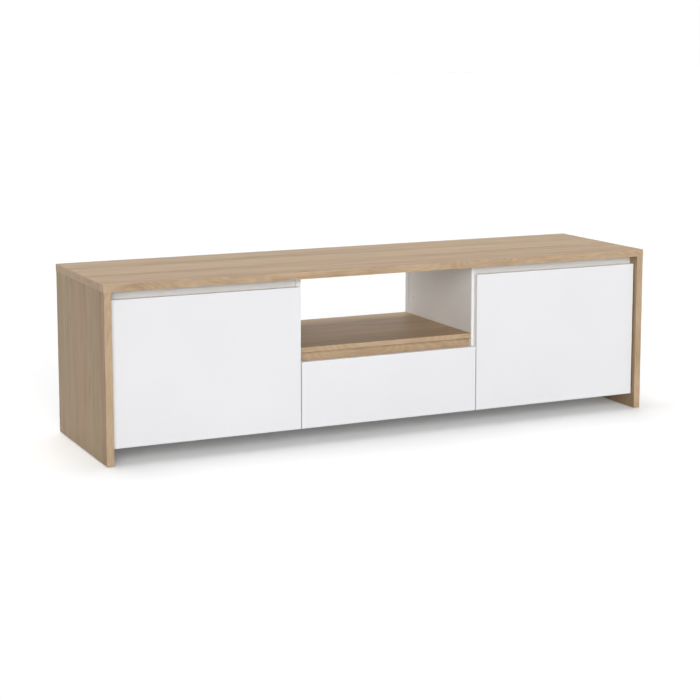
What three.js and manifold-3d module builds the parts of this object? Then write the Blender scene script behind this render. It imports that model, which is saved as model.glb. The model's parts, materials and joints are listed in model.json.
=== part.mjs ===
// TV stand: two doors, and between them an open niche above a drawer.
// Millimetres, +Z up. The origin is on the floor under the middle; the front faces -Y.

import * as THREE from 'three';
import { mergeVertices } from 'three/addons/utils/BufferGeometryUtils.js';
import Module from 'manifold-3d';

// ---- Driving dimensions -------------------------------------------------------------------

// The whole cabinet.
const WIDTH = 1500;
const DEPTH = 400;
const HEIGHT = 433;

// Board thicknesses.
const BOARD = 18;
const THIN_BOARD = 12;
const FRONT_BOARD = 15;
const RAIL_BOARD = 15;
const HARDBOARD = 3;

// Layout across the width.
const TOP_OVERHANG = 1;
const NICHE_WIDTH = 480;
const DOOR_SIDE_GAP = 3.5;
const GAP_BETWEEN_FRONTS = 3;

// Layout over the height.
const GLIDE_HEIGHT = 2;
const FRONTS_BOTTOM = 40;
const BOTTOM_UNDERSIDE = 43;
const FINGER_GAP = 21;
const SHELF_TOP = 240;
const GRIP_RAIL_HEIGHT = 60;
const CENTRE_RAIL_HEIGHT = 40;

// How far each face stands back from the front of the cabinet.
const FRONTS_RECESS = 12;
const PARTITION_RECESS = 28;
const GRIP_RAIL_RECESS = 34;
const CENTRE_RAIL_RECESS = 38;
const BACK_PANEL_INSET = 20;

// Grooves that hold the hardboard.
const GROOVE_WIDTH = 3.5;
const GROOVE_DEPTH = 5.5;
const THIN_GROOVE_DEPTH = 3.5;
const GROOVE_SLACK = 0.5;

// Loose shelves and their pins.
const PIN_HOLE_RADIUS = 2.5;
const PIN_HOLE_DEPTH = 10;
const PIN_HEIGHT = 287;
const PIN_FRONT_INSET = 57;
const PIN_BACK_INSET = 352;
const INNER_SHELF_UNDERSIDE = 290;
const INNER_SHELF_END_GAP = 2;
const INNER_SHELF_FRONT_INSET = 42;
const INNER_SHELF_BACK_GAP = 2.5;

// Door hinges.
const HINGE_HEIGHTS = { lower: 110, upper: 330 };
const CUP_BORE_RADIUS = 17.5;
const CUP_BORE_DEPTH = 12;
const CUP_FROM_DOOR_EDGE = 22.5;
const CLEARANCE = 0.3;
const SHEET_STEEL = 1.2;

// Drawer box and its roller runners.
const RUNNER_SPACE = 12.5;
const DRAWER_BOX_BOTTOM = 72;
const DRAWER_BOX_HEIGHT = 110;
const DRAWER_BOX_LENGTH = 345;
const DRAWER_BOTTOM_LIFT = 8;
const RUNNER_LENGTH = 350;
const RUNNER_CENTRE_HEIGHT = 74;
const RUNNER_HALF_HEIGHT = 11;
const ROLLER_RADIUS = 9;
const AXLE_RADIUS = 2;
const ROLLER_END_INSET = 14;

// Feet.
const GLIDE_RADIUS = 8;
const GLIDE_END_INSET = 25;
const FOOT_SETBACK = 260;

const ROUND_SEGMENTS = 32;
const SMALL_SEGMENTS = 12;

// ---- Planes worked out from them ----------------------------------------------------------

const FRONT = -DEPTH / 2;
const BACK = DEPTH / 2;
const SIDE_OUTER = WIDTH / 2 - TOP_OVERHANG;
const SIDE_INNER = SIDE_OUTER - BOARD;
const PARTITION_INNER = NICHE_WIDTH / 2;
const PARTITION_OUTER = PARTITION_INNER + THIN_BOARD;
const PARTITION_MIDDLE = PARTITION_INNER + THIN_BOARD / 2;
const PARTITION_FRONT = FRONT + PARTITION_RECESS;

const TOP_UNDERSIDE = HEIGHT - BOARD;
const BOTTOM_TOP = BOTTOM_UNDERSIDE + BOARD;
const SHELF_UNDERSIDE = SHELF_TOP - THIN_BOARD;
const DOOR_TOP = TOP_UNDERSIDE - FINGER_GAP;
const DRAWER_FRONT_TOP = SHELF_UNDERSIDE - FINGER_GAP;

const FRONTS_FACE = FRONT + FRONTS_RECESS;
const FRONTS_BACK = FRONTS_FACE + FRONT_BOARD;
const DOOR_OUTER = SIDE_INNER - DOOR_SIDE_GAP;
const DOOR_INNER = PARTITION_MIDDLE + GAP_BETWEEN_FRONTS / 2;
const DRAWER_FRONT_HALF = PARTITION_MIDDLE - GAP_BETWEEN_FRONTS / 2;

const GROOVE_MIDDLE = BACK - BACK_PANEL_INSET;
const PIN_DEPTHS = { front: FRONT + PIN_FRONT_INSET, back: FRONT + PIN_BACK_INSET };

const DRAWER_OUTER = PARTITION_INNER - RUNNER_SPACE;
const DRAWER_INNER = DRAWER_OUTER - THIN_BOARD;
const DRAWER_BOX_TOP = DRAWER_BOX_BOTTOM + DRAWER_BOX_HEIGHT;
const DRAWER_BOX_BACK = FRONTS_BACK + DRAWER_BOX_LENGTH;

const SIDES = [
  { name: 'left', sign: -1 },
  { name: 'right', sign: 1 },
];

// ---- Materials ----------------------------------------------------------------------------

function finish(color, roughness, metalness = 0) {
  return { color, roughness, metalness };
}

const OAK_DECOR = finish(0xc0a486, 0.55);
const WHITE_FRONT = finish(0xeff0f1, 0.45);
const GREY_BOARD = finish(0xd9d4ce, 0.55);
const HARDBOARD_GREY = finish(0xcfc9c1, 0.75);
const DRAWER_FOIL = finish(0xe4e1dc, 0.6);
const NICKEL = finish(0xb9b9b6, 0.3, 1);
const WHITE_EPOXY = finish(0xe9e8e4, 0.4);
const NYLON = finish(0xf1efe8, 0.5);
const ZINC = finish(0xa9abad, 0.4, 1);
const BLACK_PLASTIC = finish(0x2b2b2c, 0.6);

const group = new THREE.Group();

function addPiece(name, geometry, look) {
  const mesh = new THREE.Mesh(geometry, new THREE.MeshStandardMaterial(look));
  mesh.name = name;
  group.add(mesh);
}

// ---- Solids -------------------------------------------------------------------------------

const wasm = await Module();
wasm.setup();

function toSolid(geometry) {
  const bare = geometry.clone();
  bare.deleteAttribute('normal');
  bare.deleteAttribute('uv');
  const merged = mergeVertices(bare);
  return new wasm.Manifold(new wasm.Mesh({
    numProp: 3,
    vertProperties: merged.attributes.position.array,
    triVerts: Uint32Array.from(merged.index.array),
  }));
}

function toGeometry(solid) {
  const mesh = solid.getMesh();
  const geometry = new THREE.BufferGeometry();
  geometry.setAttribute('position', new THREE.BufferAttribute(mesh.vertProperties, 3));
  geometry.setIndex(new THREE.BufferAttribute(mesh.triVerts, 1));
  geometry.computeVertexNormals();
  return geometry;
}

function carve(body, ...cutters) {
  return toGeometry(cutters.reduce((solid, cutter) => solid.subtract(toSolid(cutter)), toSolid(body)));
}

function fuse(body, ...others) {
  return toGeometry(others.reduce((solid, other) => solid.add(toSolid(other)), toSolid(body)));
}

// A rectangular block between two planes on each axis, given in either order.
function block(xa, xb, ya, yb, za, zb) {
  const geometry = new THREE.BoxGeometry(Math.abs(xb - xa), Math.abs(yb - ya), Math.abs(zb - za));
  return geometry.translate((xa + xb) / 2, (ya + yb) / 2, (za + zb) / 2);
}

function cylinderAlongX(radius, xa, xb, y, z, segments) {
  const geometry = new THREE.CylinderGeometry(radius, radius, Math.abs(xb - xa), segments);
  return geometry.rotateZ(Math.PI / 2).translate((xa + xb) / 2, y, z);
}

function cylinderAlongY(radius, x, ya, yb, z, segments) {
  const geometry = new THREE.CylinderGeometry(radius, radius, Math.abs(yb - ya), segments);
  return geometry.translate(x, (ya + yb) / 2, z);
}

function cylinderAlongZ(radius, x, y, za, zb, segments) {
  const geometry = new THREE.CylinderGeometry(radius, radius, Math.abs(zb - za), segments);
  return geometry.rotateX(Math.PI / 2).translate(x, y, (za + zb) / 2);
}

function outline(points) {
  return new THREE.Shape(points.map(([a, b]) => new THREE.Vector2(a, b)));
}

function extrude(shape, length) {
  return new THREE.ExtrudeGeometry(shape, { depth: length, bevelEnabled: false, curveSegments: 6 });
}

// A plan outline (x, y) raised from one height to another.
function raise(shape, za, zb) {
  return extrude(shape, zb - za).translate(0, 0, za);
}

// A front-view outline (x, z) carried back from one depth to another.
function carryBack(shape, ya, yb) {
  const turned = extrude(shape, yb - ya).applyMatrix4(new THREE.Matrix4().makeBasis(
    new THREE.Vector3(1, 0, 0),
    new THREE.Vector3(0, 0, 1),
    new THREE.Vector3(0, -1, 0),
  ));
  return turned.translate(0, yb, 0);
}

// A side-view outline (y, z) carried across from one x to a larger one.
function carryAcross(shape, xa, xb) {
  const turned = extrude(shape, xb - xa).applyMatrix4(new THREE.Matrix4().makeBasis(
    new THREE.Vector3(0, 1, 0),
    new THREE.Vector3(0, 0, 1),
    new THREE.Vector3(1, 0, 0),
  ));
  return turned.translate(xa, 0, 0);
}

// A flat bar with round ends between two points of its plane.
function roundBar([ax, ay], [bx, by], width) {
  const heading = Math.atan2(by - ay, bx - ax);
  const radius = width / 2;
  const shape = new THREE.Shape();
  shape.absarc(bx, by, radius, heading - Math.PI / 2, heading + Math.PI / 2, false);
  shape.absarc(ax, ay, radius, heading + Math.PI / 2, heading + Math.PI * 3 / 2, false);
  return shape;
}

// ---- Carcass ------------------------------------------------------------------------------

// The cutter for a back-panel groove: its slot across the depth is the same in every board.
function backGroove(xa, xb, za, zb) {
  return block(xa, xb, GROOVE_MIDDLE - GROOVE_WIDTH / 2, GROOVE_MIDDLE + GROOVE_WIDTH / 2, za, zb);
}

function buildTop() {
  const reach = SIDE_INNER + GROOVE_DEPTH;
  addPiece('top_panel', carve(
    block(-WIDTH / 2, WIDTH / 2, FRONT, BACK, TOP_UNDERSIDE, HEIGHT),
    backGroove(-reach, reach, TOP_UNDERSIDE - BOARD, TOP_UNDERSIDE + GROOVE_DEPTH),
  ), OAK_DECOR);
}

function buildBottom() {
  addPiece('bottom_panel', carve(
    block(-SIDE_INNER, SIDE_INNER, PARTITION_FRONT, BACK, BOTTOM_UNDERSIDE, BOTTOM_TOP),
    backGroove(-WIDTH, WIDTH, BOTTOM_TOP - GROOVE_DEPTH, BOTTOM_TOP + BOARD),
  ), GREY_BOARD);
}

function buildSidePanel({ name, sign }) {
  const blindHoles = Object.values(PIN_DEPTHS).map((y) => cylinderAlongX(
    PIN_HOLE_RADIUS, sign * (SIDE_INNER - BOARD), sign * (SIDE_INNER + PIN_HOLE_DEPTH),
    y, PIN_HEIGHT, SMALL_SEGMENTS,
  ));
  addPiece(`${name}_side_panel`, carve(
    block(sign * SIDE_INNER, sign * SIDE_OUTER, FRONT, BACK, GLIDE_HEIGHT, TOP_UNDERSIDE),
    backGroove(sign * (SIDE_INNER - BOARD), sign * (SIDE_INNER + GROOVE_DEPTH), -HEIGHT, HEIGHT),
    ...blindHoles,
  ), OAK_DECOR);
}

// The pin holes go right through a partition, so the niche shows them too.
function buildPartition({ name, sign }) {
  const inner = sign * PARTITION_INNER;
  const outer = sign * PARTITION_OUTER;
  const beyond = sign * BOARD;
  const grooveDepth = sign * THIN_GROOVE_DEPTH;
  const throughHoles = Object.values(PIN_DEPTHS).map((y) => cylinderAlongX(
    PIN_HOLE_RADIUS, inner - beyond, outer + beyond, y, PIN_HEIGHT, SMALL_SEGMENTS,
  ));
  addPiece(`${name}_partition`, carve(
    block(inner, outer, PARTITION_FRONT, BACK, BOTTOM_TOP, TOP_UNDERSIDE),
    backGroove(inner - beyond, inner + grooveDepth, -HEIGHT, HEIGHT),
    backGroove(outer - grooveDepth, outer + beyond, -HEIGHT, HEIGHT),
    ...throughHoles,
  ), GREY_BOARD);
}

function buildCentreShelf() {
  addPiece('centre_shelf', carve(
    block(-PARTITION_INNER, PARTITION_INNER, PARTITION_FRONT, BACK, SHELF_UNDERSIDE, SHELF_TOP),
    backGroove(-WIDTH, WIDTH, SHELF_UNDERSIDE - BOARD, SHELF_UNDERSIDE + THIN_GROOVE_DEPTH),
  ), OAK_DECOR);
  const railFace = FRONT + CENTRE_RAIL_RECESS;
  addPiece('centre_rail', block(
    -PARTITION_INNER, PARTITION_INNER, railFace, railFace + THIN_BOARD,
    SHELF_UNDERSIDE - CENTRE_RAIL_HEIGHT, SHELF_UNDERSIDE,
  ), OAK_DECOR);
}

function buildGripRail({ name, sign }) {
  const face = FRONT + GRIP_RAIL_RECESS;
  addPiece(`${name}_grip_rail`, block(
    sign * PARTITION_OUTER, sign * SIDE_INNER, face, face + RAIL_BOARD,
    TOP_UNDERSIDE - GRIP_RAIL_HEIGHT, TOP_UNDERSIDE,
  ), GREY_BOARD);
}

function backPanel(xa, xb, za, zb) {
  return block(xa, xb, GROOVE_MIDDLE - HARDBOARD / 2, GROOVE_MIDDLE + HARDBOARD / 2, za, zb);
}

function buildBackPanels() {
  const intoBoard = GROOVE_DEPTH - GROOVE_SLACK;
  const intoThinBoard = THIN_GROOVE_DEPTH - GROOVE_SLACK;
  for (const { name, sign } of SIDES) {
    addPiece(`${name}_back_panel`, backPanel(
      sign * (PARTITION_OUTER - intoThinBoard), sign * (SIDE_INNER + intoBoard),
      BOTTOM_TOP - intoBoard, TOP_UNDERSIDE + intoBoard,
    ), HARDBOARD_GREY);
  }
  const centreHalf = PARTITION_INNER + intoThinBoard;
  addPiece('centre_back_panel', backPanel(
    -centreHalf, centreHalf, BOTTOM_TOP - intoBoard, SHELF_UNDERSIDE + intoThinBoard,
  ), HARDBOARD_GREY);
}

// ---- Loose shelves on pins ----------------------------------------------------------------

function buildInnerShelf({ name, sign }) {
  addPiece(`${name}_inner_shelf`, block(
    sign * (PARTITION_OUTER + INNER_SHELF_END_GAP), sign * (SIDE_INNER - INNER_SHELF_END_GAP),
    FRONT + INNER_SHELF_FRONT_INSET, GROOVE_MIDDLE - HARDBOARD / 2 - INNER_SHELF_BACK_GAP,
    INNER_SHELF_UNDERSIDE, INNER_SHELF_UNDERSIDE + THIN_BOARD,
  ), GREY_BOARD);
}

// A turned pin: a shank for the hole, a thin collar against the board and a stub under the shelf.
function shelfPin(faceX, inward, y) {
  const shankLength = PIN_HOLE_DEPTH - GROOVE_SLACK;
  const shankRadius = PIN_HOLE_RADIUS - CLEARANCE;
  const collarRadius = 4;
  const collarThickness = 1.2;
  const stubRadius = 2.75;
  const stubEnd = 10;
  const chamfer = 0.5;
  const profile = [
    [0, -shankLength],
    [shankRadius - chamfer, -shankLength],
    [shankRadius, -shankLength + chamfer],
    [shankRadius, 0],
    [collarRadius, 0],
    [collarRadius, collarThickness],
    [stubRadius, collarThickness],
    [stubRadius, stubEnd - chamfer],
    [stubRadius - chamfer, stubEnd],
    [0, stubEnd],
  ];
  const points = profile.map(([radius, along]) => new THREE.Vector2(radius, along));
  const turned = new THREE.LatheGeometry(points, SMALL_SEGMENTS);
  return turned.rotateZ(-inward * Math.PI / 2).translate(faceX, y, PIN_HEIGHT);
}

function buildShelfPins({ name, sign }) {
  for (const [place, y] of Object.entries(PIN_DEPTHS)) {
    addPiece(`${name}_outer_${place}_pin`, shelfPin(sign * SIDE_INNER, -sign, y), ZINC);
    addPiece(`${name}_inner_${place}_pin`, shelfPin(sign * PARTITION_OUTER, sign, y), ZINC);
  }
}

// ---- Doors and hinges ---------------------------------------------------------------------

const CUP_MIDDLE = DOOR_OUTER - CUP_FROM_DOOR_EDGE;

// Points of the hinge, each as [distance in from the side panel, distance behind the door's back].
const LINK_PIVOT = [16.5, -7];
const LINK_KNEE = [24, 0.5];
const LINK_TAIL = [12, 29.5];
const WINGS_MIDDLE = [0, 37];
const BOSS_START = [13.5, 35];

function hingePoint(sign, [fromPanel, behindDoor]) {
  return [sign * (SIDE_INNER - fromPanel), FRONTS_BACK + behindDoor];
}

function buildDoor({ name, sign }) {
  const bores = Object.values(HINGE_HEIGHTS).map((z) => cylinderAlongY(
    CUP_BORE_RADIUS, sign * CUP_MIDDLE, FRONTS_BACK - CUP_BORE_DEPTH, FRONTS_BACK + BOARD,
    z, ROUND_SEGMENTS,
  ));
  addPiece(`${name}_door`, carve(
    block(sign * DOOR_INNER, sign * DOOR_OUTER, FRONTS_FACE, FRONTS_BACK, FRONTS_BOTTOM, DOOR_TOP),
    ...bores,
  ), WHITE_FRONT);
}

// The pressed cup that fills the door's bore, with its screw flange on the door's back.
function hingeCup(sign, z) {
  const flangeHalfLength = 27;
  const flangeHalfWidth = 11;
  const flangeThickness = 1;
  const middle = sign * CUP_MIDDLE;
  const outerRadius = CUP_BORE_RADIUS - CLEARANCE;
  const innerRadius = outerRadius - SHEET_STEEL;
  const floor = FRONTS_BACK - CUP_BORE_DEPTH + CLEARANCE;
  const flangeFace = FRONTS_BACK + flangeThickness;
  const flange = roundBar(
    [middle, z - flangeHalfLength + flangeHalfWidth],
    [middle, z + flangeHalfLength - flangeHalfWidth],
    flangeHalfWidth * 2,
  );
  const filled = fuse(
    cylinderAlongY(outerRadius, middle, floor, FRONTS_BACK, z, ROUND_SEGMENTS),
    carryBack(flange, FRONTS_BACK, flangeFace),
  );
  return carve(
    filled,
    cylinderAlongY(innerRadius, middle, floor + SHEET_STEEL, BACK, z, ROUND_SEGMENTS),
  );
}

// The bent link between cup and arm: its pin lies across the cup, its tail inside the arm.
function hingeLink(sign, z) {
  const barWidth = 5;
  const barHalfHeight = 4.5;
  const pinHalfLength = 9;
  const pinRadius = 2;
  const pivot = hingePoint(sign, LINK_PIVOT);
  const knee = hingePoint(sign, LINK_KNEE);
  const tail = hingePoint(sign, LINK_TAIL);
  return fuse(
    raise(roundBar(pivot, knee, barWidth), z - barHalfHeight, z + barHalfHeight),
    raise(roundBar(knee, tail, barWidth), z - barHalfHeight, z + barHalfHeight),
    cylinderAlongZ(pinRadius, ...pivot, z - pinHalfLength, z + pinHalfLength, SMALL_SEGMENTS),
  );
}

// The cranked arm: a channel whose web faces the compartment and whose mouth faces the side panel.
// It runs along the panel from its rear end, then cranks inward to its nose behind the door.
function hingeArm(sign, z) {
  const halfHeight = 8;
  const hollowHalfHeight = halfHeight - SHEET_STEEL;
  const rearWeb = 15;
  const rearMouth = 5;
  const noseWeb = 32;
  const noseMouth = 18;
  const rearEnd = 58;
  const noseEnd = 2;
  const webBends = [36, 14];
  const mouthBends = [27, 12];
  const beyond = 5;
  const channel = [
    [rearWeb, rearEnd],
    [rearWeb, webBends[0]],
    [noseWeb, webBends[1]],
    [noseWeb, noseEnd],
    [noseMouth, noseEnd],
    [noseMouth, mouthBends[1]],
    [rearMouth, mouthBends[0]],
    [rearMouth, rearEnd],
  ];
  const hollow = [
    [rearWeb - SHEET_STEEL, rearEnd + beyond],
    [rearWeb - SHEET_STEEL, webBends[0]],
    [noseWeb - SHEET_STEEL, webBends[1]],
    [noseWeb - SHEET_STEEL, noseEnd - beyond],
    [noseMouth - BOARD, noseEnd - beyond],
    [noseMouth - BOARD, mouthBends[1]],
    [rearMouth - BOARD, mouthBends[0]],
    [rearMouth - BOARD, rearEnd + beyond],
  ];
  const inPlan = (points) => outline(points.map((point) => hingePoint(sign, point)));
  return carve(
    raise(inPlan(channel), z - halfHeight, z + halfHeight),
    raise(inPlan(hollow), z - hollowHalfHeight, z + hollowHalfHeight),
  );
}

// The plate screwed to the side panel: two screw wings and the boss that carries the arm.
function mountingPlate(sign, z) {
  const plateThickness = 2;
  const wingHalfSpan = 24;
  const wingHalfWidth = 8;
  const bossHalfHeight = 5;
  const bossLength = 20;
  const [faceX, wingMiddle] = hingePoint(sign, WINGS_MIDDLE);
  const wings = roundBar(
    [wingMiddle, z - wingHalfSpan + wingHalfWidth],
    [wingMiddle, z + wingHalfSpan - wingHalfWidth],
    wingHalfWidth * 2,
  );
  const innerX = faceX - sign * plateThickness;
  const [bossX, bossStart] = hingePoint(sign, BOSS_START);
  return fuse(
    carryAcross(wings, Math.min(faceX, innerX), Math.max(faceX, innerX)),
    block(faceX, bossX, bossStart, bossStart + bossLength, z - bossHalfHeight, z + bossHalfHeight),
  );
}

function buildHinges({ name, sign }) {
  for (const [place, z] of Object.entries(HINGE_HEIGHTS)) {
    addPiece(`${name}_${place}_hinge_cup`, hingeCup(sign, z), NICKEL);
    addPiece(`${name}_${place}_hinge_link`, hingeLink(sign, z), NICKEL);
    addPiece(`${name}_${place}_hinge_arm`, hingeArm(sign, z), NICKEL);
    addPiece(`${name}_${place}_hinge_plate`, mountingPlate(sign, z), NICKEL);
  }
}

// ---- Drawer -------------------------------------------------------------------------------

const DRAWER_GROOVE_BOTTOM = DRAWER_BOX_BOTTOM + DRAWER_BOTTOM_LIFT;

// The cutter for the groove that holds the drawer's bottom.
function drawerGroove(xa, xb, ya, yb) {
  return block(xa, xb, ya, yb, DRAWER_GROOVE_BOTTOM, DRAWER_GROOVE_BOTTOM + GROOVE_WIDTH);
}

function buildDrawerBox() {
  const halfReach = DRAWER_INNER + GROOVE_DEPTH;
  addPiece('drawer_front', carve(
    block(
      -DRAWER_FRONT_HALF, DRAWER_FRONT_HALF, FRONTS_FACE, FRONTS_BACK,
      FRONTS_BOTTOM, DRAWER_FRONT_TOP,
    ),
    drawerGroove(-halfReach, halfReach, FRONTS_BACK - GROOVE_DEPTH, FRONTS_BACK + BOARD),
  ), WHITE_FRONT);
  for (const { name, sign } of SIDES) {
    addPiece(`drawer_${name}_side`, carve(
      block(
        sign * DRAWER_INNER, sign * DRAWER_OUTER, FRONTS_BACK, DRAWER_BOX_BACK,
        DRAWER_BOX_BOTTOM, DRAWER_BOX_TOP,
      ),
      drawerGroove(sign * (DRAWER_INNER - BOARD), sign * halfReach, FRONT, BACK),
    ), DRAWER_FOIL);
  }
  addPiece('drawer_back', block(
    -DRAWER_INNER, DRAWER_INNER, DRAWER_BOX_BACK - THIN_BOARD, DRAWER_BOX_BACK,
    DRAWER_GROOVE_BOTTOM + GROOVE_WIDTH, DRAWER_BOX_TOP,
  ), DRAWER_FOIL);
  const bottomHalf = halfReach - GROOVE_SLACK;
  const bottomUnderside = DRAWER_GROOVE_BOTTOM + (GROOVE_WIDTH - HARDBOARD) / 2;
  addPiece('drawer_bottom', block(
    -bottomHalf, bottomHalf, FRONTS_BACK - GROOVE_DEPTH + GROOVE_SLACK, DRAWER_BOX_BACK,
    bottomUnderside, bottomUnderside + HARDBOARD,
  ), HARDBOARD_GREY);
}

// ---- Runners ------------------------------------------------------------------------------

const RUNNER_FRONT = PARTITION_FRONT;
const RUNNER_TOP = RUNNER_CENTRE_HEIGHT + RUNNER_HALF_HEIGHT;
const RUNNER_UNDERSIDE = RUNNER_CENTRE_HEIGHT - RUNNER_HALF_HEIGHT;
const TRACK_FLOOR = RUNNER_UNDERSIDE + SHEET_STEEL;

// Where each roller turns, and how far its faces and its axle's free end stand from the partition.
const FRONT_ROLLER = {
  y: RUNNER_FRONT + ROLLER_END_INSET,
  z: RUNNER_CENTRE_HEIGHT,
  nearFace: 4.6,
  farFace: 11,
  axleEnd: 10.8,
};
const REAR_ROLLER = {
  y: DRAWER_BOX_BACK - ROLLER_END_INSET,
  z: TRACK_FLOOR + ROLLER_RADIUS + CLEARANCE,
  nearFace: 2.9,
  farFace: 9.1,
  axleEnd: 2.7,
};

// Turns distances from the partition's face and heights into a front-view outline.
function runnerOutline(sign, points) {
  return outline(points.map(([fromPartition, z]) => [sign * (PARTITION_INNER - fromPartition), z]));
}

// A roller's axle, from its root inside the sheet to its free end.
function axle(sign, { y, z, axleEnd }, root) {
  const rootX = sign * (PARTITION_INNER - root);
  return cylinderAlongX(AXLE_RADIUS, rootX, sign * (PARTITION_INNER - axleEnd), y, z, SMALL_SEGMENTS);
}

// The C-shaped track on the partition, with the front roller's axle.
function cabinetRunner(sign) {
  const floorReach = 10.5;
  const lipReach = 6;
  const track = runnerOutline(sign, [
    [0, RUNNER_UNDERSIDE],
    [floorReach, RUNNER_UNDERSIDE],
    [floorReach, TRACK_FLOOR],
    [SHEET_STEEL, TRACK_FLOOR],
    [SHEET_STEEL, RUNNER_TOP - SHEET_STEEL],
    [lipReach, RUNNER_TOP - SHEET_STEEL],
    [lipReach, RUNNER_TOP],
    [0, RUNNER_TOP],
  ]);
  return fuse(
    carryBack(track, RUNNER_FRONT, RUNNER_FRONT + RUNNER_LENGTH),
    axle(sign, FRONT_ROLLER, SHEET_STEEL / 2),
  );
}

// The angle under the drawer's side: its outward flange runs on the front roller.
function drawerRunner(sign) {
  const flangeStart = 6.8;
  const uprightStart = RUNNER_SPACE - SHEET_STEEL;
  const footEnd = 22;
  const flangeUnderside = FRONT_ROLLER.z + ROLLER_RADIUS + CLEARANCE;
  const angle = runnerOutline(sign, [
    [flangeStart, flangeUnderside],
    [uprightStart, flangeUnderside],
    [uprightStart, DRAWER_BOX_BOTTOM - SHEET_STEEL],
    [footEnd, DRAWER_BOX_BOTTOM - SHEET_STEEL],
    [footEnd, DRAWER_BOX_BOTTOM],
    [RUNNER_SPACE, DRAWER_BOX_BOTTOM],
    [RUNNER_SPACE, flangeUnderside + SHEET_STEEL],
    [flangeStart, flangeUnderside + SHEET_STEEL],
  ]);
  return fuse(
    carryBack(angle, FRONTS_BACK + GROOVE_SLACK, DRAWER_BOX_BACK),
    axle(sign, REAR_ROLLER, RUNNER_SPACE - SHEET_STEEL / 2),
  );
}

// A nylon roller: a ring with rounded shoulders around its axle.
function roller(sign, { y, z, nearFace, farFace }) {
  const bore = AXLE_RADIUS + CLEARANCE;
  const shoulder = 1;
  const half = (farFace - nearFace) / 2;
  const profile = [
    [bore, -half],
    [ROLLER_RADIUS - shoulder, -half],
    [ROLLER_RADIUS, -half + shoulder],
    [ROLLER_RADIUS, half - shoulder],
    [ROLLER_RADIUS - shoulder, half],
    [bore, half],
    [bore, -half],
  ];
  const points = profile.map(([radius, along]) => new THREE.Vector2(radius, along));
  const middle = sign * (PARTITION_INNER - (nearFace + farFace) / 2);
  return new THREE.LatheGeometry(points, ROUND_SEGMENTS).rotateZ(Math.PI / 2).translate(middle, y, z);
}

function buildRunners({ name, sign }) {
  addPiece(`${name}_cabinet_runner`, cabinetRunner(sign), WHITE_EPOXY);
  addPiece(`${name}_drawer_runner`, drawerRunner(sign), WHITE_EPOXY);
  addPiece(`${name}_front_roller`, roller(sign, FRONT_ROLLER), NYLON);
  addPiece(`${name}_rear_roller`, roller(sign, REAR_ROLLER), NYLON);
}

// ---- Feet ---------------------------------------------------------------------------------

function turnedFoot(profile, x, y) {
  const points = profile.map(([radius, height]) => new THREE.Vector2(radius, height));
  return new THREE.LatheGeometry(points, ROUND_SEGMENTS).rotateX(Math.PI / 2).translate(x, y, 0);
}

// The glides nailed into the side panels' lower edges.
function buildGlides({ name, sign }) {
  const edgeMiddle = sign * (SIDE_INNER + BOARD / 2);
  const rounding = 1;
  const glide = [
    [0, 0],
    [GLIDE_RADIUS - rounding, 0],
    [GLIDE_RADIUS, rounding],
    [GLIDE_RADIUS, GLIDE_HEIGHT],
    [0, GLIDE_HEIGHT],
  ];
  addPiece(`${name}_front_glide`, turnedFoot(glide, edgeMiddle, FRONT + GLIDE_END_INSET), NYLON);
  addPiece(`${name}_back_glide`, turnedFoot(glide, edgeMiddle, BACK - GLIDE_END_INSET), NYLON);
}

// The foot under a partition: a round sole, a slimmer waist and a wide cap under the bottom panel.
function buildCentreFoot({ name, sign }) {
  const soleRadius = 20;
  const soleTop = 6;
  const waistRadius = 11;
  const waistTop = 34;
  const capRadius = 22;
  const capUnderside = BOTTOM_UNDERSIDE - 3;
  const foot = [
    [0, 0],
    [soleRadius - 2, 0],
    [soleRadius, 2],
    [soleRadius, soleTop],
    [waistRadius + 1, soleTop + 4],
    [waistRadius, waistTop],
    [waistRadius + 3, capUnderside - 1],
    [capRadius, capUnderside],
    [capRadius, BOTTOM_UNDERSIDE],
    [0, BOTTOM_UNDERSIDE],
  ];
  const middle = sign * PARTITION_MIDDLE;
  addPiece(`${name}_centre_foot`, turnedFoot(foot, middle, FRONT + FOOT_SETBACK), BLACK_PLASTIC);
}

// ---- Assembly -----------------------------------------------------------------------------

buildTop();
buildBottom();
buildCentreShelf();
buildBackPanels();
buildDrawerBox();
for (const side of SIDES) {
  buildSidePanel(side);
  buildPartition(side);
  buildGripRail(side);
  buildInnerShelf(side);
  buildShelfPins(side);
  buildDoor(side);
  buildHinges(side);
  buildRunners(side);
  buildGlides(side);
  buildCentreFoot(side);
}

export default group;
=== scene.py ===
# TV stand with two doors, an open niche and a drawer: the looks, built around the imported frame.
# Metres, +Z up, the front faces -Y.

import json
import math

import bmesh
import bpy
from mathutils import Matrix, Vector


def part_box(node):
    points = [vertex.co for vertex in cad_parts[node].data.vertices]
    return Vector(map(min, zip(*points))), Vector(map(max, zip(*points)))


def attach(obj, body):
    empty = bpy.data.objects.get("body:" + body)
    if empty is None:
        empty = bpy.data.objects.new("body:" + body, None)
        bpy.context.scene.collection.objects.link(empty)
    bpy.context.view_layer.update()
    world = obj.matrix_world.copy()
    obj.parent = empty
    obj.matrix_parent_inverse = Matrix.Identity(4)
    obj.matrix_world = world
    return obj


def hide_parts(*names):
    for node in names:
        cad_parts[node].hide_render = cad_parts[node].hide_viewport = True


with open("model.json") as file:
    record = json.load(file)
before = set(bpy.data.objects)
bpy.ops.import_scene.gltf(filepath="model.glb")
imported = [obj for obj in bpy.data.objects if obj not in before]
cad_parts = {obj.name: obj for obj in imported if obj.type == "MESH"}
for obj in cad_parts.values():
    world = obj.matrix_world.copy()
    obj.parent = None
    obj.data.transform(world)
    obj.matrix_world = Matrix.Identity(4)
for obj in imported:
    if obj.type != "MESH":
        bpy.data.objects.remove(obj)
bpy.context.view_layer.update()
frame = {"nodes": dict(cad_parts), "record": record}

SIDES = (("left", -1), ("right", 1))
HINGE_PLACES = ("lower", "upper")
MM = 0.001


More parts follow.
